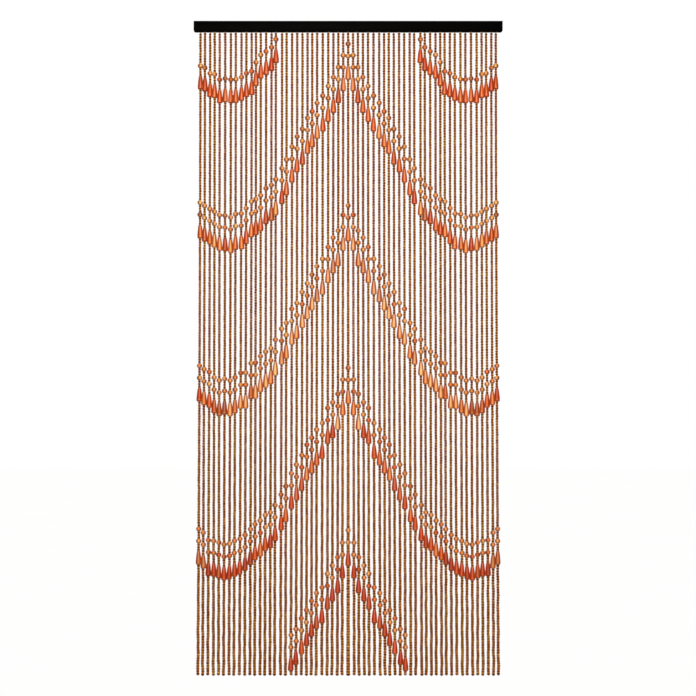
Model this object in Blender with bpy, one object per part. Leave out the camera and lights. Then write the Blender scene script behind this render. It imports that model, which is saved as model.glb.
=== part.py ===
"""A wooden bead door curtain: a black head rail, and 59 strands of beads that draw five rows of swags.

Metres, +Z up. The curtain faces -Y and hangs from the rail. The origin is the centre of the rail's back face.
A depth is measured down from the rail's underside, along a strand.
"""

import math
from collections import namedtuple
from itertools import accumulate

import bmesh
import bpy
from mathutils import Matrix, Vector

MM = 0.001

RAIL_WIDTH = 0.900
RAIL_HEIGHT = 0.031
RAIL_DEPTH = 0.030
RAIL_CORNER = 0.005
CORNER_STEPS = 4
CURTAIN_HEIGHT = 1.909
STRAND_LENGTH = CURTAIN_HEIGHT - RAIL_HEIGHT
MIDDLE_Y = -RAIL_DEPTH / 2
UNDERSIDE_Z = -RAIL_HEIGHT / 2

CLEARANCE = 0.0003
STRIP_HEIGHT = 0.004
STRIP_DEPTH = 0.0210
GROOVE_END = 0.006

# The small beads are sorted so that the widest, by this share, are at a strand's end. The middle strand's are
# wider still, by its own share.
BEAD_PITCH = 0.00773
BEAD_RADIUS = 0.0044
BEAD_GROWTH = 0.27
MIDDLE_GROWTH = 0.25
BALL_RADIUS = 0.0081
DROP_RADIUS = 0.0085
DROP_LENGTH = 0.040
DROP_BELLY = 0.85

# A swag's two balls are a pitch apart, and the lower one sits this far above the drop's end. Three small beads
# fill each gap.
BALL_PITCH = 0.0353
BALL_RISE = 0.0692

# The strands hang by turns in front of and behind the rail's middle line, which keeps their drops apart.
STAGGER = 0.0058
LEAN_CURVE = 1.5

FIRST_APEX = 0.1346
SWAG_PITCH = 0.4762
CORNER_RISE = 0.4345

# One half of the stringing chart, from the strand beside the middle one outwards: the gap at the rail to the
# strand before it, how far below a swag's point its drop ends, and how far outwards its lower end leans.
# The other half mirrors it.
Strand = namedtuple("Strand", "gap_mm drop_mm spread_mm")
CHART = (
    Strand(gap_mm=14.4, drop_mm=31, spread_mm=3.3),
    Strand(gap_mm=14.1, drop_mm=73, spread_mm=2.9),
    Strand(gap_mm=14.6, drop_mm=98, spread_mm=4.1),
    Strand(gap_mm=14.8, drop_mm=121, spread_mm=3.3),
    Strand(gap_mm=16.1, drop_mm=158, spread_mm=3.0),
    Strand(gap_mm=16.4, drop_mm=177, spread_mm=2.8),
    Strand(gap_mm=14.4, drop_mm=201, spread_mm=2.8),
    Strand(gap_mm=13.5, drop_mm=224, spread_mm=3.7),
    Strand(gap_mm=14.9, drop_mm=252, spread_mm=3.6),
    Strand(gap_mm=15.2, drop_mm=279, spread_mm=3.8),
    Strand(gap_mm=15.1, drop_mm=301, spread_mm=3.6),
    Strand(gap_mm=15.8, drop_mm=342, spread_mm=3.6),
    Strand(gap_mm=13.4, drop_mm=367, spread_mm=5.0),
    Strand(gap_mm=17.9, drop_mm=397, spread_mm=3.9),
    Strand(gap_mm=13.0, drop_mm=416, spread_mm=4.9),
    Strand(gap_mm=15.4, drop_mm=426, spread_mm=3.9),
    Strand(gap_mm=16.0, drop_mm=443, spread_mm=2.2),
    Strand(gap_mm=13.4, drop_mm=458, spread_mm=4.4),
    Strand(gap_mm=13.1, drop_mm=464, spread_mm=5.2),
    Strand(gap_mm=15.0, drop_mm=484, spread_mm=5.3),
    Strand(gap_mm=14.6, drop_mm=496, spread_mm=6.3),
    Strand(gap_mm=16.2, drop_mm=501, spread_mm=5.9),
    Strand(gap_mm=14.8, drop_mm=510, spread_mm=6.0),
    Strand(gap_mm=16.0, drop_mm=505, spread_mm=4.9),
    Strand(gap_mm=16.8, drop_mm=507, spread_mm=3.7),
    Strand(gap_mm=14.0, drop_mm=501, spread_mm=4.2),
    Strand(gap_mm=13.7, drop_mm=485, spread_mm=7.2),
    Strand(gap_mm=14.6, drop_mm=477, spread_mm=7.1),
    Strand(gap_mm=13.7, drop_mm=467, spread_mm=7.7),
)
OUTER_ROW = len(CHART)
ROW_X = list(accumulate((strand.gap_mm * MM for strand in CHART), initial=0.0))
ROW_DEPTH = [0.0, *(strand.drop_mm * MM for strand in CHART)]
ROW_SPREAD = [0.0, *(strand.spread_mm * MM for strand in CHART)]

# Each swag has the depth of its point, where the middle strand's drop ends, and the balls above each drop.
# Its slips are the rows that were strung some millimetres lower there, or higher, than the chart says.
# The corner swag's point would be above the rail, so only the outer strands have room for it.
Swag = namedtuple("Swag", "apex balls slips_mm")
SWAGS = (
    Swag(
        apex=FIRST_APEX - CORNER_RISE,
        balls=1,
        slips_mm={14: -6, 15: -3, 17: -8, 19: 19, 20: 6, 21: 4, 22: 6, 23: -3, 26: -8, 27: 4, 28: -3},
    ),
    Swag(
        apex=FIRST_APEX,
        balls=2,
        slips_mm={0: 5, 1: 6, 3: 3, 4: 7, 5: -3, 8: -3, 10: -4, 11: 3, 14: 3, 17: 3, 21: 3, 25: -4, 26: -7},
    ),
    Swag(
        apex=FIRST_APEX + SWAG_PITCH,
        balls=2,
        slips_mm={1: -4, 3: -5, 5: -3, 8: 3, 10: 5, 13: -8, 14: -6, 17: -4, 19: -4, 20: 3, 21: -8, 25: 3},
    ),
    Swag(
        apex=FIRST_APEX + 2 * SWAG_PITCH,
        balls=2,
        slips_mm={0: -3, 4: -7, 8: -3, 11: 4, 15: 3, 18: -5, 19: 4, 24: 7, 27: 15},
    ),
    Swag(
        apex=FIRST_APEX + 3 * SWAG_PITCH,
        balls=2,
        slips_mm={0: -6, 5: 4, 8: 3, 10: 3},
    ),
)

# Each root strip carries the strands from its first number to its last. Strand 0 is the middle one.
StrandGroup = namedtuple("StrandGroup", "name first last")
GROUPS = (
    StrandGroup("strands_left", -OUTER_ROW, -10),
    StrandGroup("strands_middle", -9, 9),
    StrandGroup("strands_right", 10, OUTER_ROW),
)

BLACK_PAINT = (0.010, 0.009, 0.009, 1.0)
BROWN_WOOD = (0.235, 0.095, 0.035, 1.0)
ORANGE_LACQUER = (0.760, 0.175, 0.035, 1.0)

Ring = namedtuple("Ring", "depth radius")


def clear_scene():
    for obj in list(bpy.data.objects):
        bpy.data.objects.remove(obj, do_unlink=True)


def new_collection(name):
    made = bpy.data.collections.new(name)
    bpy.context.scene.collection.children.link(made)
    return made


def new_material(name, colour, roughness):
    material = bpy.data.materials.new(name)
    material.use_nodes = True
    shader = material.node_tree.nodes["Principled BSDF"]
    shader.inputs["Base Color"].default_value = colour
    shader.inputs["Roughness"].default_value = roughness
    shader.inputs["Metallic"].default_value = 0.0
    material.diffuse_color = colour
    return material


def new_object(name, mesh, collection):
    obj = bpy.data.objects.new(name, mesh)
    collection.objects.link(obj)
    return obj


def hide_from_render(obj):
    obj.hide_render = True
    obj.display_type = "WIRE"


def add_boolean(obj, operation, operand):
    modifier = obj.modifiers.new(operation.title(), "BOOLEAN")
    modifier.operation = operation
    modifier.solver = "EXACT"
    modifier.object = operand


def box_mesh(name, low, high):
    """A closed box between two corners."""
    low, high = Vector(low), Vector(high)
    mesh = bpy.data.meshes.new(name)
    shape = bmesh.new()
    size = high - low
    bmesh.ops.create_cube(
        shape,
        size=1.0,
        matrix=Matrix.Translation((low + high) / 2) @ Matrix.Diagonal((*size, 1.0)),
    )
    shape.to_mesh(mesh)
    shape.free()
    return mesh


def round_lower_ends(mesh):
    """Rounds the two edges where the rail's underside meets its ends."""
    shape = bmesh.new()
    shape.from_mesh(mesh)
    ends = [
        edge
        for edge in shape.edges
        if all(vert.co.z < 0 for vert in edge.verts)
        and abs(edge.verts[0].co.x - edge.verts[1].co.x) < MM
    ]
    bmesh.ops.bevel(
        shape,
        geom=ends,
        offset=RAIL_CORNER,
        segments=CORNER_STEPS,
        profile=0.5,
        affect="EDGES",
    )
    shape.to_mesh(mesh)
    shape.free()


def make_rail(parts, cutters):
    """The batten, with a groove along its underside that stops short of both ends."""
    half = Vector((RAIL_WIDTH / 2, 0.0, RAIL_HEIGHT / 2))
    mesh = box_mesh("head_rail", (-half.x, -RAIL_DEPTH, -half.z), (half.x, 0.0, half.z))
    round_lower_ends(mesh)
    rail = new_object("head_rail", mesh, parts)
    rail.data.materials.append(new_material("black_paint", BLACK_PAINT, 0.45))

    reach = RAIL_WIDTH / 2 - GROOVE_END
    width = STRIP_DEPTH / 2 + CLEARANCE
    roof = UNDERSIDE_Z + STRIP_HEIGHT + CLEARANCE
    floor = UNDERSIDE_Z - STRIP_HEIGHT
    low = (-reach, MIDDLE_Y - width, floor)
    high = (reach, MIDDLE_Y + width, roof)
    groove = new_object("groove_cutter", box_mesh("groove_cutter", low, high), cutters)
    hide_from_render(groove)
    add_boolean(rail, "DIFFERENCE", groove)
    return rail


def place_on_strand(number, depth):
    """The middle of a strand at a depth. The strands lean outwards more and more the lower they hang."""
    row = abs(number)
    side = (number > 0) - (number < 0)
    lean = ROW_SPREAD[row] * max(depth / STRAND_LENGTH, 0.0) ** LEAN_CURVE
    x = side * (ROW_X[row] + lean)
    y = MIDDLE_Y + (STAGGER if number % 2 else -STAGGER)
    return Vector((x, y, UNDERSIDE_Z - depth))


def bead_radius(row, depth):
    share = max(depth / STRAND_LENGTH, 0.0)
    middle = MIDDLE_GROWTH * share**2 if row == 0 else 0.0
    return BEAD_RADIUS * (1 + BEAD_GROWTH * share**3) * (1 + middle)


def ball_rings(row, middle):
    """A ball starts and ends where it is as thin as the small beads."""
    thin = bead_radius(row, middle)
    reach = math.sqrt(BALL_RADIUS**2 - thin**2)
    return [
        Ring(middle - reach, thin),
        Ring(middle, BALL_RADIUS),
        Ring(middle + reach, thin),
    ]


def drop_rings(row, end):
    top = end - DROP_LENGTH
    return [
        Ring(top, bead_radius(row, top)),
        Ring(top + DROP_BELLY * DROP_LENGTH, DROP_RADIUS),
        Ring(end, bead_radius(row, end)),
    ]


def swag_rings(swag, row):
    """One or two balls and a drop, or nothing on a strand that has no room for all of them."""
    end = swag.apex + ROW_DEPTH[row] + swag.slips_mm.get(row, 0) * MM
    lowest_ball = end - BALL_RISE
    highest_ball = lowest_ball - (swag.balls - 1) * BALL_PITCH
    if highest_ball - BALL_RADIUS < STRIP_HEIGHT or end > STRAND_LENGTH:
        return []
    rings = []
    for ball in range(swag.balls):
        rings += ball_rings(row, highest_ball + ball * BALL_PITCH)
    return rings + drop_rings(row, end)


def strand_rings(number):
    """A strand from inside its root strip down to its end, as wide at each ring as the beads there."""
    row = abs(number)
    root = -STRIP_HEIGHT / 2
    rings = [Ring(root, bead_radius(row, root))]
    for swag in SWAGS:
        rings += swag_rings(swag, row)
    return [*rings, Ring(STRAND_LENGTH, bead_radius(row, STRAND_LENGTH))]


def add_strand(curve, number):
    rings = strand_rings(number)
    spline = curve.splines.new("POLY")
    spline.points.add(len(rings) - 1)
    for point, ring in zip(spline.points, rings):
        point.co = (*place_on_strand(number, ring.depth), 1.0)
        point.radius = ring.radius / curve.bevel_depth


def strands_mesh(group):
    """The group's strands as square tubes with a corner to the front and to each side."""
    curve = bpy.data.curves.new(group.name + "_cords", "CURVE")
    curve.dimensions = "3D"
    curve.bevel_depth = MM
    curve.bevel_resolution = 0
    curve.use_fill_caps = True
    for number in range(group.first, group.last + 1):
        add_strand(curve, number)
    cords = new_object(curve.name, curve, bpy.context.scene.collection)
    graph = bpy.context.evaluated_depsgraph_get()
    mesh = bpy.data.meshes.new_from_object(cords.evaluated_get(graph))
    mesh.name = group.name
    bpy.data.objects.remove(cords, do_unlink=True)

    shape = bmesh.new()
    shape.from_mesh(mesh)
    bmesh.ops.remove_doubles(shape, verts=shape.verts[:], dist=0.01 * MM)
    bmesh.ops.recalc_face_normals(shape, faces=shape.faces[:])
    shape.to_mesh(mesh)
    shape.free()
    return mesh


def colour_big_beads(mesh, brown, orange):
    """Plain stretches of strand are upright, so the faces that slope belong to the balls and drops."""
    mesh.materials.clear()
    mesh.materials.append(brown)
    mesh.materials.append(orange)
    for face in mesh.polygons:
        face.material_index = int(0.05 < abs(face.normal.z) < 0.95)


def strip_end(number, outwards):
    """Where a root strip ends beside its last strand: at the groove's end, or halfway to the next strip."""
    if abs(number) == OUTER_ROW:
        reach = RAIL_WIDTH / 2 - GROOVE_END - CLEARANCE
        return outwards * reach
    here = place_on_strand(number, 0.0).x
    beyond = place_on_strand(number + outwards, 0.0).x
    return (here + beyond) / 2 - outwards * CLEARANCE / 2


def make_strands(group, brown, orange, parts, cutters):
    mesh = strands_mesh(group)
    colour_big_beads(mesh, brown, orange)
    strands = new_object(group.name, mesh, parts)

    low = (strip_end(group.first, -1), MIDDLE_Y - STRIP_DEPTH / 2, UNDERSIDE_Z)
    high = (strip_end(group.last, 1), MIDDLE_Y + STRIP_DEPTH / 2, UNDERSIDE_Z + STRIP_HEIGHT)
    strip_name = group.name + "_root_strip"
    strip = new_object(strip_name, box_mesh(strip_name, low, high), cutters)
    hide_from_render(strip)
    add_boolean(strands, "UNION", strip)
    return strands


def main():
    clear_scene()
    parts = new_collection("door_curtain")
    cutters = new_collection("cutters")
    make_rail(parts, cutters)
    brown = new_material("brown_wood", BROWN_WOOD, 0.5)
    orange = new_material("orange_lacquer", ORANGE_LACQUER, 0.3)
    for group in GROUPS:
        make_strands(group, brown, orange, parts, cutters)


main()
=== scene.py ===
"""A wooden bead door curtain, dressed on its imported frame.

The strands are strung bead by bead from the same stringing chart as the solids. Metres, +Z up, and the
curtain faces -Y. A depth is measured down from the rail's underside, along a strand.
"""

import math
import random
from collections import namedtuple
from itertools import accumulate

import bmesh
import bpy
from mathutils import Euler, Matrix, Vector


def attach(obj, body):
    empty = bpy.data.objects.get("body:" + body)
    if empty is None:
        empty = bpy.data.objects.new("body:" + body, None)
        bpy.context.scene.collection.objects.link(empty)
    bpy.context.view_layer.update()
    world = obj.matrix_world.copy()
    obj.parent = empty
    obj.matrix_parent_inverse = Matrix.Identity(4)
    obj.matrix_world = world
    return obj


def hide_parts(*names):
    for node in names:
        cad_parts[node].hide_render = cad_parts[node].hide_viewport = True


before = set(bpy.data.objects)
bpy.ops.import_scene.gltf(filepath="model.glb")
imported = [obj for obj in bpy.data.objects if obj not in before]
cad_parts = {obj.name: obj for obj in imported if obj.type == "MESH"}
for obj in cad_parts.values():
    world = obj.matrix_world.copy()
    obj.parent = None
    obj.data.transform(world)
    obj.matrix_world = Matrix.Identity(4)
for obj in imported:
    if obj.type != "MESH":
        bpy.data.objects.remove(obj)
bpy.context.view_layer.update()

MM = 0.001

RAIL_WIDTH = 0.900
RAIL_HEIGHT = 0.031
RAIL_DEPTH = 0.030
RAIL_CORNER = 0.005
RAIL_EASED_EDGE = 0.0006
CURTAIN_HEIGHT = 1.909
STRAND_LENGTH = CURTAIN_HEIGHT - RAIL_HEIGHT
MIDDLE_Y = -RAIL_DEPTH / 2
UNDERSIDE_Z = -RAIL_HEIGHT / 2

CLEARANCE = 0.0003
STRIP_HEIGHT = 0.004
STRIP_DEPTH = 0.0210
STRIP_EASED_EDGE = 0.0005
GROOVE_END = 0.006

BEAD_PITCH = 0.00773
BEAD_RADIUS = 0.0044
# Towards a strand's lower end its beads grow by the first share, and the middle strand's by the second too.
BEAD_GROWTH = 0.27
MIDDLE_GROWTH = 0.25
BALL_RADIUS = 0.0081
BALL_HEIGHT = 0.0132
DROP_LENGTH = 0.040
# A swag's two balls are a pitch apart, and the lower one sits this far above the drop's end. Three small
# beads fill each gap.
BALL_PITCH = 0.0353
BALL_RISE = 0.0692
CORD_RADIUS = 0.0006
CORD_STEPS = 48
KNOT_RADIUS = 0.0013
TOP_KNOT_RADIUS = 0.0016
# A strand starts just below the pale knot that holds it to the rail, and ends on its own knot. The beads
# there sink this far over their knots.
TOP_OVERLAP = 0.0004
END_OVERLAP = 0.0008
TOP_START = 2 * TOP_KNOT_RADIUS - TOP_OVERLAP
END_KNOT = 2 * KNOT_RADIUS - END_OVERLAP

# Odd strands stand this far behind the rail's middle line, and even ones as far in front of it.
STAGGER = 0.0058
LEAN_CURVE = 1.5
WANDER = 0.0008

# How unevenly the beads are turned, strung and finished. Widths and sizes are shares of the usual one, and
# heights are shares of the pitch. Tilts and turns are in radians, and a spread is that of a bell curve.
# Tone runs from dark at 0 to light at 1, and warmth from olive or golden at 0 to red at 1.
STRAND_TONE_SPREAD = 0.05
STRAND_WARMTHS = (0.1, 0.9)
MIDDLE_WARMTH = 0.6
# The middle strand gets paler on its way down: each metre adds this much to its tone.
PALER_MIDDLE = 0.18
BEAD_WIDTHS = (0.9, 0.98)
BEAD_HEIGHTS = (0.965, 0.995)
BEAD_TILT = 0.07
BEAD_NUDGE = 0.12 * MM
BEAD_TONE_SPREAD = 0.28
BEAD_WARMTH_SPREAD = 0.08
BALL_SIZES = (0.97, 1.02)
BALL_TILT = 0.05
BALL_TONE = 0.55
BALL_TONE_SPREAD = 0.27
BALL_WARMTH_SPREAD = 0.18
DROP_TILT = 0.012
MIDDLE_TONE = 0.5
GOLDEN_WARMTH = 0.1
LACQUERED_TURN = 0.15
KNOT_TILT = 0.1
KNOT_WIDENING = 1.1
FULL_TURN = 6.28
TRAY_SEED = 1000
KNOT_SEED = 500

# A swag's apex is the depth at which its drop on the middle strand ends. The corner swags' apex lies above
# the rail, so only the outer strands carry them.
FIRST_APEX = 0.1346
SWAG_PITCH = 0.4762
CORNER_RISE = 0.4345

# From the middle outwards: a strand's gap to the one before it, how far below the apex its drops end, and
# how far its lower end leans outwards.
Strand = namedtuple("Strand", "gap_mm drop_mm spread_mm")
CHART = (
    Strand(gap_mm=14.4, drop_mm=31, spread_mm=3.3),
    Strand(gap_mm=14.1, drop_mm=73, spread_mm=2.9),
    Strand(gap_mm=14.6, drop_mm=98, spread_mm=4.1),
    Strand(gap_mm=14.8, drop_mm=121, spread_mm=3.3),
    Strand(gap_mm=16.1, drop_mm=158, spread_mm=3.0),
    Strand(gap_mm=16.4, drop_mm=177, spread_mm=2.8),
    Strand(gap_mm=14.4, drop_mm=201, spread_mm=2.8),
    Strand(gap_mm=13.5, drop_mm=224, spread_mm=3.7),
    Strand(gap_mm=14.9, drop_mm=252, spread_mm=3.6),
    Strand(gap_mm=15.2, drop_mm=279, spread_mm=3.8),
    Strand(gap_mm=15.1, drop_mm=301, spread_mm=3.6),
    Strand(gap_mm=15.8, drop_mm=342, spread_mm=3.6),
    Strand(gap_mm=13.4, drop_mm=367, spread_mm=5.0),
    Strand(gap_mm=17.9, drop_mm=397, spread_mm=3.9),
    Strand(gap_mm=13.0, drop_mm=416, spread_mm=4.9),
    Strand(gap_mm=15.4, drop_mm=426, spread_mm=3.9),
    Strand(gap_mm=16.0, drop_mm=443, spread_mm=2.2),
    Strand(gap_mm=13.4, drop_mm=458, spread_mm=4.4),
    Strand(gap_mm=13.1, drop_mm=464, spread_mm=5.2),
    Strand(gap_mm=15.0, drop_mm=484, spread_mm=5.3),
    Strand(gap_mm=14.6, drop_mm=496, spread_mm=6.3),
    Strand(gap_mm=16.2, drop_mm=501, spread_mm=5.9),
    Strand(gap_mm=14.8, drop_mm=510, spread_mm=6.0),
    Strand(gap_mm=16.0, drop_mm=505, spread_mm=4.9),
    Strand(gap_mm=16.8, drop_mm=507, spread_mm=3.7),
    Strand(gap_mm=14.0, drop_mm=501, spread_mm=4.2),
    Strand(gap_mm=13.7, drop_mm=485, spread_mm=7.2),
    Strand(gap_mm=14.6, drop_mm=477, spread_mm=7.1),
    Strand(gap_mm=13.7, drop_mm=467, spread_mm=7.7),
)
OUTER_ROW = len(CHART)
ROW_X = list(accumulate((strand.gap_mm * MM for strand in CHART), initial=0.0))
ROW_DEPTH = [0.0, *(strand.drop_mm * MM for strand in CHART)]
ROW_SPREAD = [0.0, *(strand.spread_mm * MM for strand in CHART)]

# A swag's redness is the warmth of its drops on the middle strand, and its outer redness that on the
# outermost one. Its topmost drops are golden as far out as its number of golden rows. The unevenness says
# how much its drops differ, and a slip is how far a row's balls and drop hang below or above the chart.
Swag = namedtuple(
    "Swag",
    "apex balls ball_redness redness outer_redness golden_rows unevenness slips_mm",
)
SWAGS = (
    Swag(
        apex=FIRST_APEX - CORNER_RISE,
        balls=1,
        ball_redness=0.22,
        redness=0.60,
        outer_redness=0.60,
        golden_rows=0,
        unevenness=0.07,
        slips_mm={14: -6, 15: -3, 17: -8, 19: 19, 20: 6, 21: 4, 22: 6, 23: -3, 26: -8, 27: 4, 28: -3},
    ),
    Swag(
        apex=FIRST_APEX,
        balls=2,
        ball_redness=0.06,
        redness=0.42,
        outer_redness=0.40,
        golden_rows=0,
        unevenness=0.17,
        slips_mm={0: 5, 1: 6, 3: 3, 4: 7, 5: -3, 8: -3, 10: -4, 11: 3, 14: 3, 17: 3, 21: 3, 25: -4, 26: -7},
    ),
    Swag(
        apex=FIRST_APEX + SWAG_PITCH,
        balls=2,
        ball_redness=0.2,
        redness=0.0,
        outer_redness=0.36,
        golden_rows=0,
        unevenness=0.20,
        slips_mm={1: -4, 3: -5, 5: -3, 8: 3, 10: 5, 13: -8, 14: -6, 17: -4, 19: -4, 20: 3, 21: -8, 25: 3},
    ),
    Swag(
        apex=FIRST_APEX + 2 * SWAG_PITCH,
        balls=2,
        ball_redness=0.34,
        redness=0.66,
        outer_redness=0.90,
        golden_rows=3,
        unevenness=0.13,
        slips_mm={0: -3, 4: -7, 8: -3, 11: 4, 15: 3, 18: -5, 19: 4, 24: 7, 27: 15},
    ),
    Swag(
        apex=FIRST_APEX + 3 * SWAG_PITCH,
        balls=2,
        ball_redness=0.24,
        redness=0.84,
        outer_redness=0.84,
        golden_rows=0,
        unevenness=0.07,
        slips_mm={0: -6, 5: 4, 8: 3, 10: 3},
    ),
)

# The strands of each root strip and of each joined run of small beads, from the first number to the last.
Group = namedtuple("Group", "name first last")
ROOT_GROUPS = (
    Group("left", -OUTER_ROW, -10),
    Group("middle", -9, 9),
    Group("right", 10, OUTER_ROW),
)
BEAD_GROUPS = (
    Group("far_left", -OUTER_ROW, -20),
    Group("left", -19, -10),
    Group("middle_left", -9, -1),
    Group("middle_right", 0, 9),
    Group("right", 10, 19),
    Group("far_right", 20, OUTER_ROW),
)

# A place for one bead: its middle, its turn, how far the model bead is scaled, and its own tone and warmth.
Place = namedtuple("Place", "middle turn size tone warmth")

# The turned profiles: how far down the piece, as a share, and its radius there. The small bead's radius is
# a share too.
DROP_PROFILE = (
    (0.00, 0.0042),
    (0.05, 0.0050),
    (0.20, 0.0060),
    (0.42, 0.0071),
    (0.60, 0.0079),
    (0.74, 0.0084),
    (0.88, 0.0085),
    (0.955, 0.0079),
    (1.00, 0.0062),
)
BEAD_PROFILE = ((0.0, 0.56), (0.12, 0.86), (0.5, 1.0), (0.88, 0.86), (1.0, 0.56))
BEAD_SIDES = 7
TURNED_SIDES = 12
# The rings of a ball, as degrees from its top. The first and the last are the rims of its holes.
BALL_ANGLES = (28.7, 48.0, 69.0, 90.0, 111.0, 132.0, 151.3)

TURNED_SMOOTH = math.radians(50.0)
EDGE_SMOOTH = math.radians(35.0)


# Camera

CAMERA_DISTANCE = 8.0
CAMERA_X = -0.0004
CAMERA_Z = -0.937
VIEW_WIDTH = 2.0302
SENSOR = 36.0


def set_camera():
    data = bpy.data.cameras.new("camera")
    data.sensor_width = SENSOR
    data.lens = SENSOR * CAMERA_DISTANCE / VIEW_WIDTH
    data.clip_end = 100.0
    camera = bpy.data.objects.new("camera", data)
    camera.location = (CAMERA_X, MIDDLE_Y - CAMERA_DISTANCE, CAMERA_Z)
    camera.rotation_euler = (math.radians(90.0), 0.0, 0.0)
    bpy.context.scene.collection.objects.link(camera)
    bpy.context.scene.camera = camera


set_camera()


# Modelling helpers


def select_only(obj):
    bpy.ops.object.select_all(action="DESELECT")
    obj.select_set(True)
    bpy.context.view_layer.objects.active = obj


def deselect_all():
    if bpy.context.object and bpy.context.object.mode != "OBJECT":
        bpy.ops.object.mode_set(mode="OBJECT")
    bpy.ops.object.select_all(action="DESELECT")


def added(name):
    """The primitive that was just added, under its own name."""
    obj = bpy.context.object
    obj.name = name
    obj.data.name = name
    return obj


def pick_faces(obj, wanted):
    """In edit mode, selects the faces whose middle and normal pass the test."""
    shape = bmesh.from_edit_mesh(obj.data)
    bpy.ops.mesh.select_all(action="DESELECT")
    bpy.ops.mesh.select_mode(type="FACE")
    for face in shape.faces:
        face.select = wanted(face.calc_center_median(), face.normal)
    shape.select_flush_mode()
    bmesh.update_edit_mesh(obj.data)


def pick_edges(obj, wanted):
    """In edit mode, selects the edges whose two ends pass the test."""
    shape = bmesh.from_edit_mesh(obj.data)
    bpy.ops.mesh.select_all(action="DESELECT")
    bpy.ops.mesh.select_mode(type="EDGE")
    for edge in shape.edges:
        edge.select = wanted(edge.verts[0].co, edge.verts[1].co)
    shape.select_flush_mode()
    bmesh.update_edit_mesh(obj.data)


def apply_modifier(obj, kind, **settings):
    select_only(obj)
    modifier = obj.modifiers.new(kind.title(), kind)
    for name, value in settings.items():
        setattr(modifier, name, value)
    bpy.ops.object.modifier_apply(modifier=modifier.name)


def turned_piece(name, profile, sides):
    """A piece turned on a lathe: a disc is extruded and scaled down its profile of depths and radii."""
    deselect_all()
    first_depth, first_radius = profile[0]
    bpy.ops.mesh.primitive_circle_add(
        vertices=sides,
        radius=first_radius,
        fill_type="NGON",
        location=(0.0, 0.0, -first_depth),
    )
    obj = added(name)
    bpy.ops.object.mode_set(mode="EDIT")
    bpy.ops.mesh.select_all(action="SELECT")
    for (depth, radius), (next_depth, next_radius) in zip(profile, profile[1:]):
        bpy.ops.mesh.extrude_region_move(
            TRANSFORM_OT_translate={"value": (0.0, 0.0, depth - next_depth)},
        )
        wider = next_radius / radius
        bpy.ops.transform.resize(value=(wider, wider, 1.0))
    bpy.ops.mesh.select_all(action="SELECT")
    bpy.ops.mesh.normals_make_consistent(inside=False)
    bpy.ops.object.mode_set(mode="OBJECT")
    select_only(obj)
    bpy.ops.object.transform_apply(location=True, rotation=True, scale=True)
    bpy.ops.object.shade_smooth_by_angle(angle=TURNED_SMOOTH)
    return obj


def note_height(obj, top, length):
    """Keeps on each point how far down the piece it is, as a share, for the finish."""
    heights = obj.data.attributes.new("along", "FLOAT", "POINT")
    for vert, value in zip(obj.data.vertices, heights.data):
        value.value = (top - vert.co.z) / length


def note_side(obj):
    """Keeps on each point how far round it is: 0 in front and behind, 1 at the left and the right side,
    where the lacquer gets its painted shade.
    """
    sides = obj.data.attributes.new("side", "FLOAT", "POINT")
    smallest = 0.1 * MM
    for vert, value in zip(obj.data.vertices, sides.data):
        value.value = abs(vert.co.x) / max(math.hypot(vert.co.x, vert.co.y), smallest)


# Places on the strands


def side_of(number):
    """-1 for a strand of the left half, 1 for one of the right half, 0 for the middle strand."""
    return (number > 0) - (number < 0)


def wander(row, depth):
    """How far a hanging cord strays from a straight line: two waves that differ from strand to strand."""
    long_wave = 62.0 + 7.0 * math.sin(row * 2.1)
    short_wave = 118.0 + 11.0 * math.cos(row * 1.3)
    slow = math.sin(depth * long_wave + row * 1.7)
    quick = math.sin(depth * short_wave + row * 2.9)
    return WANDER * (0.6 * slow + 0.4 * quick)


def place_on_strand(number, depth):
    """The middle of a strand at a depth. The strands lean outwards more and more the lower they hang."""
    row = abs(number)
    share = max(depth / STRAND_LENGTH, 0.0)
    lean = ROW_SPREAD[row] * share**LEAN_CURVE
    x = side_of(number) * (ROW_X[row] + lean + wander(row, depth) * share**3)
    y = MIDDLE_Y + (STAGGER if number % 2 else -STAGGER)
    return Vector((x, y, UNDERSIDE_Z - depth))


def bead_radius(row, depth):
    share = max(depth / STRAND_LENGTH, 0.0)
    middle = MIDDLE_GROWTH * share**2 if row == 0 else 0.0
    return BEAD_RADIUS * (1 + BEAD_GROWTH * share**3) * (1 + middle)


def swag_pieces(swag, row):
    """The depths of the top of each ball and of the drop in a swag on this row, or nothing without room."""
    end = swag.apex + ROW_DEPTH[row] + swag.slips_mm.get(row, 0) * MM
    lowest_ball = end - BALL_RISE
    highest_ball = lowest_ball - (swag.balls - 1) * BALL_PITCH
    if highest_ball - BALL_RADIUS < STRIP_HEIGHT or end > STRAND_LENGTH:
        return None
    balls = [highest_ball + ball * BALL_PITCH for ball in range(swag.balls)]
    return balls, end - DROP_LENGTH


def drop_redness(swag, row):
    if row < swag.golden_rows:
        return GOLDEN_WARMTH
    return swag.redness + (swag.outer_redness - swag.redness) * (row / OUTER_ROW) ** 2


def lacquered_turn(draw, side, tilt):
    """The small tilt of a ball or drop, mirrored on the other half of the curtain."""
    return Euler((draw.gauss(0, tilt), side * draw.gauss(0, tilt), side * draw.gauss(0, LACQUERED_TURN)))


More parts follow.
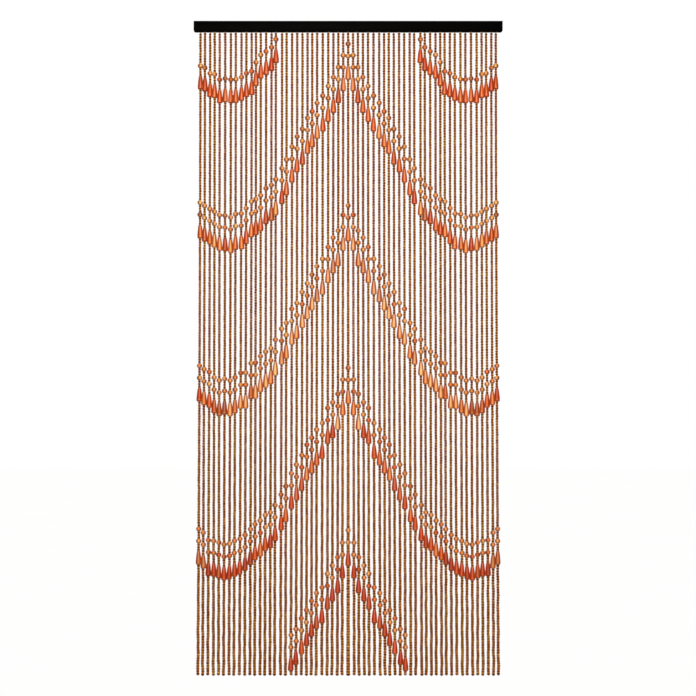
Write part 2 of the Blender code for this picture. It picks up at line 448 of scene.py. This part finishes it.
def hang_swag(number, swag, draw, balls, drops):
    """Hangs a swag's balls and drop on a strand. Gives the stretches of the strand that they take up."""
    row = abs(number)
    side = side_of(number) or 1
    found = swag_pieces(swag, row)
    if not found:
        return []
    ball_middles, drop_top = found
    for middle in ball_middles:
        balls.append(
            Place(
                middle=place_on_strand(number, middle),
                turn=lacquered_turn(draw, side, BALL_TILT),
                size=Vector((1.0, 1.0, 1.0)) * draw.uniform(*BALL_SIZES),
                tone=draw.gauss(BALL_TONE, BALL_TONE_SPREAD),
                warmth=swag.ball_redness + draw.gauss(0.0, BALL_WARMTH_SPREAD),
            )
        )
    drops.append(
        Place(
            middle=place_on_strand(number, drop_top),
            turn=lacquered_turn(draw, side, DROP_TILT),
            size=Vector((1.0, 1.0, 1.0)),
            tone=draw.gauss(MIDDLE_TONE, 2 * swag.unevenness),
            warmth=drop_redness(swag, row) + draw.gauss(0.0, swag.unevenness),
        )
    )
    taken = [(middle - BALL_HEIGHT / 2, middle + BALL_HEIGHT / 2) for middle in ball_middles]
    return [*taken, (drop_top, drop_top + DROP_LENGTH)]


def thread_beads(number, top, bottom, draw, strand_tone, strand_warmth):
    """The small beads between two depths, at the pitch nearest to the usual one that fills the stretch."""
    row = abs(number)
    count = max(round((bottom - top) / BEAD_PITCH), 1)
    pitch = (bottom - top) / count
    beads = []
    for bead in range(count):
        depth = top + (bead + 0.5) * pitch
        radius = bead_radius(row, depth) * draw.uniform(*BEAD_WIDTHS)
        nudge = Vector((draw.gauss(0, BEAD_NUDGE), draw.gauss(0, BEAD_NUDGE), 0.0))
        paler = 0.0 if row else PALER_MIDDLE * depth
        tilt = (draw.gauss(0, BEAD_TILT), draw.gauss(0, BEAD_TILT))
        beads.append(
            Place(
                middle=place_on_strand(number, depth) + nudge,
                turn=Euler((*tilt, draw.uniform(0, FULL_TURN))),
                size=Vector((radius, radius, pitch * draw.uniform(*BEAD_HEIGHTS))),
                tone=MIDDLE_TONE + strand_tone + paler + draw.gauss(0.0, BEAD_TONE_SPREAD),
                warmth=strand_warmth + draw.gauss(0.0, BEAD_WARMTH_SPREAD),
            )
        )
    return beads


def string_strand(number, small, balls, drops):
    """Threads one strand from the rail down. Both halves of the curtain are strung from the same tray of
    beads, so a row's draws are the same on its left and its right."""
    row = abs(number)
    draw = random.Random(TRAY_SEED + row)
    strand_warmth = draw.uniform(*STRAND_WARMTHS) if row else MIDDLE_WARMTH
    strand_tone = draw.gauss(0.0, STRAND_TONE_SPREAD)
    taken = []
    for swag in SWAGS:
        taken += hang_swag(number, swag, draw, balls, drops)
    top = TOP_START
    for piece_top, piece_bottom in [*taken, (STRAND_LENGTH - END_KNOT, None)]:
        small.extend(thread_beads(number, top, piece_top, draw, strand_tone, strand_warmth))
        top = piece_bottom


# Joining many copies of one bead into one piece


def points_of(name, places):
    """A mesh of loose points, one for each place, with the bead's turn, size and finish kept on it."""
    mesh = bpy.data.meshes.new(name)
    mesh.from_pydata([place.middle for place in places], [], [])
    for quality, kind, field in (
        ("turn", "FLOAT_VECTOR", "vector"),
        ("size", "FLOAT_VECTOR", "vector"),
        ("tone", "FLOAT", "value"),
        ("warmth", "FLOAT", "value"),
    ):
        kept = mesh.attributes.new(quality, kind, "POINT")
        for point, place in zip(kept.data, places):
            setattr(point, field, getattr(place, quality))
    return mesh


def kept_vector(group, name):
    """A node that reads a vector kept on the points."""
    node = group.nodes.new("GeometryNodeInputNamedAttribute")
    node.data_type = "FLOAT_VECTOR"
    node.inputs["Name"].default_value = name
    return node


def stringing_nodes(bead):
    """Nodes that put the bead on each point and make the copies one mesh."""
    group = bpy.data.node_groups.new("string_" + bead.name, "GeometryNodeTree")
    group.interface.new_socket("Geometry", in_out="INPUT", socket_type="NodeSocketGeometry")
    group.interface.new_socket("Geometry", in_out="OUTPUT", socket_type="NodeSocketGeometry")
    entry = group.nodes.new("NodeGroupInput")
    leave = group.nodes.new("NodeGroupOutput")
    model = group.nodes.new("GeometryNodeObjectInfo")
    model.inputs["Object"].default_value = bead
    put = group.nodes.new("GeometryNodeInstanceOnPoints")
    turn = kept_vector(group, "turn")
    angles = group.nodes.new("FunctionNodeEulerToRotation")
    size = kept_vector(group, "size")
    join = group.nodes.new("GeometryNodeRealizeInstances")
    link = group.links.new
    link(entry.outputs[0], put.inputs["Points"])
    link(model.outputs["Geometry"], put.inputs["Instance"])
    link(turn.outputs["Attribute"], angles.inputs["Euler"])
    link(angles.outputs["Rotation"], put.inputs["Rotation"])
    link(size.outputs["Attribute"], put.inputs["Scale"])
    link(put.outputs["Instances"], join.inputs["Geometry"])
    link(join.outputs["Geometry"], leave.inputs[0])
    return group


def string_piece(name, nodes, places, material):
    """One piece of all the beads at these places."""
    obj = bpy.data.objects.new(name, points_of(name, places))
    bpy.context.scene.collection.objects.link(obj)
    apply_modifier(obj, "NODES", node_group=nodes)
    for spare in ("turn", "size"):
        kept = obj.data.attributes.get(spare)
        if kept:
            obj.data.attributes.remove(kept)
    obj.data.materials.clear()
    obj.data.materials.append(material)
    return obj


# Shader maths


class Socket:
    """Wraps a shader socket, so that finishes are written as sums."""

    def __init__(self, paint, link):
        self.paint = paint
        self.link = link

    def _math(self, operation, *values):
        return self.paint.node("ShaderNodeMath", {"operation": operation}, dict(enumerate(values)))

    def __add__(self, other):
        return self._math("ADD", self, other)

    def __radd__(self, other):
        return self._math("ADD", other, self)

    def __sub__(self, other):
        return self._math("SUBTRACT", self, other)

    def __rsub__(self, other):
        return self._math("SUBTRACT", other, self)

    def __mul__(self, other):
        return self._math("MULTIPLY", self, other)

    def __rmul__(self, other):
        return self._math("MULTIPLY", other, self)

    def clamp(self):
        return self._math("MINIMUM", self._math("MAXIMUM", self, 0.0), 1.0)

    def band(self, low, high):
        """0 below low, 1 above high, and a smooth step between them."""
        return self.paint.node(
            "ShaderNodeMapRange",
            {"interpolation_type": "SMOOTHSTEP"},
            {"Value": self, "From Min": low, "From Max": high},
        )


class Paint:
    """A finish being mixed: its material and its nodes."""

    def __init__(self, name):
        self.material = bpy.data.materials.new(name)
        self.material.use_nodes = True
        self.tree = self.material.node_tree
        self.shader = self.tree.nodes["Principled BSDF"]

    def node(self, kind, settings=None, inputs=None, output=0):
        made = self.tree.nodes.new(kind)
        for name, value in (settings or {}).items():
            if name == "stops":
                self._set_stops(made.color_ramp, value)
            else:
                setattr(made, name, value)
        for name, value in (inputs or {}).items():
            self.feed(made.inputs[name], value)
        return Socket(self, made.outputs[output])

    def _set_stops(self, ramp, stops):
        while len(ramp.elements) < len(stops):
            ramp.elements.new(0.5)
        for element, (position, colour) in zip(ramp.elements, stops):
            element.position = position
            element.color = colour

    def feed(self, socket, value):
        if isinstance(value, Socket):
            self.tree.links.new(value.link, socket)
        else:
            socket.default_value = value

    def set(self, **values):
        """Feeds the shader's own sockets: base_color becomes Base Color."""
        for name, value in values.items():
            self.feed(self.shader.inputs[name.replace("_", " ").title().replace("Ior", "IOR")], value)
        return self.material

    def places(self, scale=(1.0, 1.0, 1.0)):
        """Object coordinates in millimetres, times a scale."""
        here = self.node("ShaderNodeTexCoord", output="Object")
        per_mm = tuple(share / MM for share in scale)
        return self.node("ShaderNodeMapping", {}, {"Vector": here, "Scale": per_mm})

    def shifted(self, vector, amount):
        """A vector moved along by an amount, so that each bead has its own piece of the pattern."""
        step = (1.0, 1.0, 1.0)
        move = self.node("ShaderNodeVectorMath", {"operation": "SCALE"}, {0: step, "Scale": amount})
        return self.node("ShaderNodeVectorMath", {"operation": "ADD"}, {0: vector, 1: move})

    def noise(self, vector, scale, detail, roughness=0.5):
        return self.node(
            "ShaderNodeTexNoise",
            {},
            {"Vector": vector, "Scale": scale, "Detail": detail, "Roughness": roughness},
        )

    def kept(self, name):
        """A number kept on the piece's points or beads."""
        return self.node("ShaderNodeAttribute", {"attribute_name": name}, output="Fac")

    def ramp(self, factor, stops):
        return self.node("ShaderNodeValToRGB", {"stops": stops}, {"Fac": factor})

    def blend(self, factor, first, second):
        """Mixes two colours."""
        return self.node("ShaderNodeMix", {"data_type": "RGBA"}, {0: factor, 6: first, 7: second}, output=2)

    def bump(self, height, distance, strength):
        normal = self.node(
            "ShaderNodeBump",
            {},
            {"Height": height, "Distance": distance, "Strength": strength},
        )
        self.feed(self.shader.inputs["Normal"], normal)


def rgb(red, green, blue):
    """A colour read as it looks on a screen, from 0 to 255, as the shader's own light values."""

    def linear(value):
        value /= 255
        return value / 12.92 if value <= 0.04045 else ((value + 0.055) / 1.055) ** 2.4

    return (linear(red), linear(green), linear(blue), 1.0)


# Finishes

WARM_SHEEN = (1.0, 0.3, 0.03, 1.0)
# The colour of the lacquer's painted shade rims, and of its darker neck.
DARK_LACQUER = rgb(108, 36, 10)


def bead_stain():
    """Brown stain under a thin satin varnish. Each bead has its own tone, and round its holes it is painted
    golden: a painted highlight. A warm sheen lights its edges."""
    paint = Paint("brown_stained_wood")
    tone = paint.kept("tone")
    warmth = paint.kept("warmth")
    along = paint.kept("along")
    grain_place = paint.shifted(paint.places((1.0, 1.0, 0.16)), tone * 37.0 + warmth * 11.0)
    grain = paint.noise(grain_place, 1.6, detail=4.0, roughness=0.6)
    mottle = paint.noise(paint.shifted(paint.places(), tone * 23.0), 0.45, detail=2.0)
    depth_of_stain = tone + (grain - 0.5) * 0.5 + (mottle - 0.5) * 0.4
    olive = paint.ramp(
        depth_of_stain,
        (
            (0.0, rgb(36, 20, 10)),
            (0.35, rgb(53, 32, 15)),
            (0.7, rgb(77, 47, 24)),
            (1.0, rgb(113, 79, 42)),
        ),
    )
    russet = paint.ramp(
        depth_of_stain,
        (
            (0.0, rgb(50, 13, 9)),
            (0.35, rgb(68, 21, 13)),
            (0.7, rgb(94, 34, 21)),
            (1.0, rgb(128, 61, 38)),
        ),
    )
    stained = paint.blend(warmth.band(0.1, 0.9), olive, russet)
    # Round the holes each bead's ends are painted golden: a painted highlight.
    painted_ends = 1.0 - along.band(0.03, 0.23) * (1.0 - along.band(0.77, 0.97))
    painted_highlight = paint.blend(tone.clamp(), rgb(238, 134, 16), rgb(255, 220, 84))
    colour = paint.blend(painted_ends * 0.95, stained, painted_highlight)
    paint.bump(grain, 0.00005, 0.5)
    return paint.set(
        base_color=colour,
        roughness=0.42 + grain * 0.16 + painted_ends * 0.2,
        coat_weight=0.03,
        coat_roughness=0.3,
        specular_ior_level=0.06,
        sheen_weight=1.0,
        sheen_roughness=0.5,
        sheen_tint=WARM_SHEEN,
    )


def orange_lacquer(name, golden, dark, rim_start, rim_depth, ring, deepening, neck, gloss):
    """Orange gloss lacquer over pale wood. Both sides are painted darker, towards the dark colour, as
    painted shade. Both ends have a dark rim of painted shade, and a paler ring above the lower one is a
    painted highlight. The rim's start and the highlight's place are shares of the piece's height. The rim's
    depth and the neck say how dark those two are, and the deepening how much redder the lower end is than
    the top."""
    paint = Paint(name)
    tone = paint.kept("tone")
    warmth = paint.kept("warmth")
    along = paint.kept("along")
    grain_place = paint.shifted(paint.places((1.0, 1.0, 0.12)), tone * 41.0 + warmth * 17.0)
    grain = paint.noise(grain_place, 0.9, detail=4.0, roughness=0.55)
    mottle = paint.noise(paint.shifted(paint.places(), warmth * 29.0), 0.2, detail=2.0)
    redness = warmth + (mottle - 0.5) * 0.25 + (grain - 0.5) * 0.2 + (along - 0.5) * deepening
    lacquer = paint.ramp(
        redness,
        (
            (0.0, golden),
            (0.3, rgb(236, 134, 56)),
            (0.55, rgb(226, 92, 13)),
            (0.8, rgb(204, 61, 4)),
            (1.0, rgb(166, 38, 2)),
        ),
    )
    light = (tone - 0.5) * 0.6
    paler = paint.blend(light.clamp(), lacquer, rgb(255, 214, 130))
    toned = paint.blend((light * -1.0).clamp() * 1.6, paler, rgb(120, 40, 16))
    # A paler ring above the lower rim: a painted highlight.
    highlight_ring = along.band(ring - 0.1, ring) * (1.0 - along.band(ring + 0.02, rim_start))
    highlighted = paint.blend(highlight_ring * (0.36 - warmth * 0.25), toned, rgb(255, 205, 130))
    necked = paint.blend((1.0 - along.band(0.1, 0.7)) * neck, highlighted, DARK_LACQUER)
    # Both sides are painted darker towards the dark colour: painted shade at the left and the right.
    sides = paint.kept("side").band(0.05, 0.85)
    side_shaded = paint.blend(sides * 0.9, necked, dark)
    # Dark rims at both ends, round the holes: painted shade.
    rim_end = rim_start + (1.0 - rim_start) * 0.6
    painted_ends = 1.0 - along.band(0.0, 0.05) * (1.0 - along.band(rim_start, rim_end))
    colour = paint.blend(painted_ends * rim_depth, side_shaded, DARK_LACQUER)
    paint.bump(grain, 0.00006, 0.4)
    return paint.set(
        base_color=colour,
        roughness=0.36 + grain * 0.12,
        coat_weight=gloss,
        coat_roughness=0.24,
        specular_ior_level=0.3,
        sheen_weight=0.8,
        sheen_roughness=0.3,
        sheen_tint=WARM_SHEEN,
    )


def black_paint():
    """Satin black paint over a fine-grained batten."""
    paint = Paint("satin_black_paint")
    fibres = paint.noise(paint.places((0.02, 1.0, 1.0)), 0.8, detail=5.0, roughness=0.6)
    patches = paint.noise(paint.places((0.2, 1.0, 1.0)), 0.06, detail=2.0)
    black = paint.blend(fibres.band(0.45, 0.8) * 0.5, rgb(3, 3, 4), rgb(9, 8, 8))
    paint.bump(fibres, 0.00012, 0.6)
    return paint.set(
        base_color=black,
        roughness=0.5 + (patches - 0.5) * 0.2 + (fibres - 0.5) * 0.15,
        specular_ior_level=0.01,
    )


def twisted_thread(name, dark, light):
    """Twisted thread: fine slanting turns along the cord."""
    paint = Paint(name)
    turns = paint.node(
        "ShaderNodeTexWave",
        {"wave_type": "BANDS", "bands_direction": "DIAGONAL"},
        {"Vector": paint.places(), "Scale": 0.8, "Distortion": 0.6, "Detail": 1.0},
        output="Fac",
    )
    fuzz = paint.noise(paint.places(), 6.0, detail=2.0)
    colour = paint.blend((turns * 0.7 + fuzz * 0.3).clamp(), dark, light)
    paint.bump(turns, 0.0001, 0.8)
    return paint.set(base_color=colour, roughness=0.82 + (fuzz - 0.5) * 0.2)


# The pieces


def make_bead_model():
    """A small barrel of a bead, one metre long and two wide before each copy is scaled to its own size."""
    bead = turned_piece("bead_model", BEAD_PROFILE, BEAD_SIDES)
    bead.data.transform(Matrix.Translation((0.0, 0.0, 0.5)))
    note_height(bead, 0.5, 1.0)
    return bead


def make_ball_model():
    """A turned ball, a little wider than tall, cut flat at both holes."""
    angles = [math.radians(angle) for angle in BALL_ANGLES]
    tall = BALL_HEIGHT / 2 / math.cos(angles[0])
    profile = [
        (BALL_HEIGHT / 2 - tall * math.cos(angle), BALL_RADIUS * math.sin(angle)) for angle in angles
    ]
    ball = turned_piece("ball_model", profile, TURNED_SIDES)
    ball.data.transform(Matrix.Translation((0.0, 0.0, BALL_HEIGHT / 2)))
    note_height(ball, BALL_HEIGHT / 2, BALL_HEIGHT)
    note_side(ball)
    return ball


def make_drop_model():
    """A turned drop, with its top at the origin."""
    profile = [(share * DROP_LENGTH, radius) for share, radius in DROP_PROFILE]
    drop = turned_piece("drop_model", profile, TURNED_SIDES)
    note_height(drop, 0.0, DROP_LENGTH)
    note_side(drop)
    return drop


def make_rail(material):
    """The batten: a block with a groove pushed up into its underside, and its edges eased."""
    deselect_all()
    bpy.ops.mesh.primitive_cube_add(size=1.0, location=(0.0, MIDDLE_Y, 0.0))
    rail = added("rail")
    rail.scale = (RAIL_WIDTH, RAIL_DEPTH, RAIL_HEIGHT)
    bpy.ops.object.transform_apply(location=True, rotation=True, scale=True)

    bpy.ops.object.mode_set(mode="EDIT")
    reach = RAIL_WIDTH / 2 - GROOVE_END
    half = STRIP_DEPTH / 2 + CLEARANCE
    pick_faces(rail, lambda middle, normal: normal.z < -0.9)
    bpy.ops.mesh.inset(thickness=GROOVE_END / 2, depth=0.0)
    shape = bmesh.from_edit_mesh(rail.data)
    for vert in shape.verts:
        if vert.select:
            vert.co.x = math.copysign(reach, vert.co.x)
            vert.co.y = MIDDLE_Y + math.copysign(half, vert.co.y - MIDDLE_Y)
    bmesh.update_edit_mesh(rail.data)
    bpy.ops.mesh.extrude_region_move(
        TRANSFORM_OT_translate={"value": (0.0, 0.0, STRIP_HEIGHT + CLEARANCE)},
    )
    end = RAIL_WIDTH / 2 - MM
    pick_edges(
        rail,
        lambda a, b: a.z < 0 and b.z < 0 and abs(a.x) > end and abs(b.x) > end and abs(a.x - b.x) < MM,
    )
    bpy.ops.mesh.bevel(offset=RAIL_CORNER, segments=8, profile=0.5, affect="EDGES")
    bpy.ops.object.mode_set(mode="OBJECT")
    apply_modifier(
        rail,
        "BEVEL",
        width=RAIL_EASED_EDGE,
        segments=2,
        limit_method="ANGLE",
        angle_limit=math.radians(40.0),
    )
    bpy.ops.object.shade_smooth_by_angle(angle=EDGE_SMOOTH)
    rail.data.materials.append(material)
    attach(rail, "root")
    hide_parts("head_rail")


def strip_end(number, outwards):
    """Where a root strip ends: at the groove's end, or halfway to the next strip."""
    if abs(number) == OUTER_ROW:
        return outwards * (RAIL_WIDTH / 2 - GROOVE_END - CLEARANCE)
    here = place_on_strand(number, 0.0).x
    beyond = place_on_strand(number + outwards, 0.0).x
    return (here + beyond) / 2 - outwards * CLEARANCE / 2


def make_root_strip(group, material):
    """The strip in the rail's groove that holds the cords, with its edges eased."""
    low = strip_end(group.first, -1)
    high = strip_end(group.last, 1)
    deselect_all()
    middle = ((low + high) / 2, MIDDLE_Y, UNDERSIDE_Z + STRIP_HEIGHT / 2)
    bpy.ops.mesh.primitive_cube_add(size=1.0, location=middle)
    strip = added("root_strip_" + group.name)
    strip.scale = (high - low, STRIP_DEPTH, STRIP_HEIGHT)
    bpy.ops.object.transform_apply(location=True, rotation=True, scale=True)
    apply_modifier(strip, "BEVEL", width=STRIP_EASED_EDGE, segments=2, limit_method="ANGLE")
    bpy.ops.object.shade_smooth_by_angle(angle=EDGE_SMOOTH)
    strip.data.materials.append(material)
    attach(strip, "root")
    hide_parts("strands_" + group.name)


def cord_points(number):
    """Points down a cord, from inside its root strip to the middle of its end knot."""
    top = -STRIP_HEIGHT / 2
    length = STRAND_LENGTH - KNOT_RADIUS - top
    return [place_on_strand(number, top + length * step / CORD_STEPS) for step in range(CORD_STEPS + 1)]


def knot_place(number, depth, radius):
    """A knot, tied a little wider one way than the other."""
    draw = random.Random(KNOT_SEED + abs(number))
    return Place(
        middle=place_on_strand(number, depth),
        turn=Euler((draw.gauss(0, KNOT_TILT), draw.gauss(0, KNOT_TILT), draw.uniform(0, FULL_TURN))),
        size=Vector((radius * KNOT_WIDENING, radius, 2 * radius)),
        tone=MIDDLE_TONE,
        warmth=0.5,
    )


def make_knots(group, nodes, brown, pale):
    """The pale knots just under the rail and the brown ones below the last beads."""
    numbers = range(group.first, group.last + 1)
    low_end = STRAND_LENGTH - KNOT_RADIUS
    top_knots = [knot_place(number, TOP_KNOT_RADIUS, TOP_KNOT_RADIUS) for number in numbers]
    end_knots = [knot_place(number, low_end, KNOT_RADIUS) for number in numbers]
    for name, places, thread in (("top_knots_", top_knots, pale), ("end_knots_", end_knots, brown)):
        knots = string_piece(name + group.name, nodes, places, thread)
        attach(knots, "root")
        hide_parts("strands_" + group.name)


def make_cords(group, material):
    """The cords down the middle of the strands of one root strip."""
    curve = bpy.data.curves.new("cords_" + group.name, "CURVE")
    curve.dimensions = "3D"
    curve.bevel_depth = CORD_RADIUS
    curve.bevel_resolution = 0
    curve.use_fill_caps = True
    for number in range(group.first, group.last + 1):
        points = cord_points(number)
        spline = curve.splines.new("POLY")
        spline.points.add(len(points) - 1)
        for point, place in zip(spline.points, points):
            point.co = (*place, 1.0)
    cords = bpy.data.objects.new(curve.name, curve)
    bpy.context.scene.collection.objects.link(cords)
    select_only(cords)
    bpy.ops.object.convert(target="MESH")
    cords = bpy.context.object
    cords.data.materials.clear()
    cords.data.materials.append(material)
    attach(cords, "root")
    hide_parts("strands_" + group.name)


def root_group_names(group):
    """The CAD nodes whose strands this group of beads belongs to."""
    return [
        "strands_" + root.name
        for root in ROOT_GROUPS
        if group.first <= root.last and group.last >= root.first
    ]


def make_strands(brown, pale):
    """All the beads, balls, drops and knots of the strands."""
    stain = bead_stain()
    # In each lacquer, dark is the colour of its painted side shade, the rim is painted shade, and the ring
    # is a painted highlight.
    ball_lacquer = orange_lacquer(
        "orange_lacquer_on_balls",
        golden=rgb(242, 166, 88),
        dark=rgb(120, 34, 2),
        rim_start=0.78,
        rim_depth=0.9,
        ring=0.64,
        deepening=0.1,
        neck=0.0,
        gloss=0.6,
    )
    drop_lacquer = orange_lacquer(
        "orange_lacquer_on_drops",
        golden=rgb(246, 182, 124),
        dark=rgb(160, 44, 4),
        rim_start=0.93,
        rim_depth=0.6,
        ring=0.86,
        deepening=0.25,
        neck=0.25,
        gloss=0.25,
    )
    bead = make_bead_model()
    ball = make_ball_model()
    drop = make_drop_model()
    string_bead = stringing_nodes(bead)
    string_ball = stringing_nodes(ball)
    string_drop = stringing_nodes(drop)

    strung = {}
    for number in range(-OUTER_ROW, OUTER_ROW + 1):
        strung[number] = ([], [], [])
        string_strand(number, *strung[number])

    def gather(group, kind):
        return [place for number in range(group.first, group.last + 1) for place in strung[number][kind]]

    for group in BEAD_GROUPS:
        piece = string_piece("small_beads_" + group.name, string_bead, gather(group, 0), stain)
        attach(piece, "root")
        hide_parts(*root_group_names(group))
    for group in ROOT_GROUPS:
        for kind, name, nodes, lacquer in (
            (1, "balls_", string_ball, ball_lacquer),
            (2, "drops_", string_drop, drop_lacquer),
        ):
            piece = string_piece(name + group.name, nodes, gather(group, kind), lacquer)
            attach(piece, "root")
            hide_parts("strands_" + group.name)
        make_knots(group, string_bead, brown, pale)
    for model in (bead, ball, drop):
        bpy.data.objects.remove(model, do_unlink=True)


# Floor and light

FLOOR_Z = -1.95
FLOOR_SIZE = 30.0
WHITE = (1.0, 1.0, 1.0, 1.0)
DIM_FILL = (0.16, 0.13, 0.09, 1.0)
WARM_WHITE = (1.0, 0.93, 0.78)
LIGHT_WIDTH = 1.6
LIGHT_HEIGHT = 1.4

Light = namedtuple("Light", "name place aim power")
LIGHTS = (
    Light(name="front_light", place=(0.0, -5.6, 0.9), aim=(0.0, 0.0, -0.9), power=280.0),
    Light(name="low_light", place=(0.0, -6.0, -1.6), aim=(0.0, 0.0, -1.2), power=115.0),
    Light(name="back_light", place=(0.0, 5.0, 1.0), aim=(0.0, 0.0, -0.9), power=280.0),
)


def set_world(scene):
    """The camera sees white, and the beads get only a dim, warm and even fill from it."""
    world = bpy.data.worlds.new("studio")
    scene.world = world
    world.use_nodes = True
    tree = world.node_tree
    seen = tree.nodes.new("ShaderNodeLightPath")
    shade = tree.nodes.new("ShaderNodeMix")
    shade.data_type = "RGBA"
    shade.inputs[6].default_value = DIM_FILL
    shade.inputs[7].default_value = WHITE
    tree.links.new(seen.outputs["Is Camera Ray"], shade.inputs[0])
    tree.links.new(shade.outputs[2], tree.nodes["Background"].inputs["Color"])


def set_floor():
    """A pale floor that glows evenly, and that no bead mirrors or takes light from."""
    deselect_all()
    bpy.ops.mesh.primitive_plane_add(size=FLOOR_SIZE, location=(0.0, 0.0, FLOOR_Z))
    floor = added("studio_floor")
    paint = Paint("pale_floor")
    speckle = paint.noise(paint.places(), 0.002, detail=2.0)
    colour = paint.blend(speckle, rgb(253, 253, 252), rgb(255, 255, 255))
    floor.data.materials.append(
        paint.set(
            base_color=rgb(0, 0, 0),
            roughness=1.0,
            specular_ior_level=0.0,
            emission_color=colour,
            emission_strength=1.0,
        )
    )
    floor.visible_diffuse = False
    floor.visible_glossy = False


def add_soft_light(kind):
    data = bpy.data.lights.new(kind.name, "AREA")
    data.shape = "RECTANGLE"
    data.size = LIGHT_WIDTH
    data.size_y = LIGHT_HEIGHT
    data.energy = kind.power
    data.color = WARM_WHITE
    light = bpy.data.objects.new(kind.name, data)
    light.location = kind.place
    light.rotation_euler = (Vector(kind.aim) - Vector(kind.place)).to_track_quat("-Z", "Y").to_euler()
    bpy.context.scene.collection.objects.link(light)


def main():
    scene = bpy.context.scene
    scene.view_settings.view_transform = "Standard"
    set_world(scene)
    set_floor()
    for kind in LIGHTS:
        add_soft_light(kind)

    paint = black_paint()
    make_rail(paint)
    brown = twisted_thread("brown_thread", rgb(60, 32, 14), rgb(118, 76, 42))
    pale = twisted_thread("pale_thread", rgb(160, 126, 90), rgb(222, 190, 150))
    for group in ROOT_GROUPS:
        make_root_strip(group, paint)
        make_cords(group, brown)
    make_strands(brown, pale)


main()
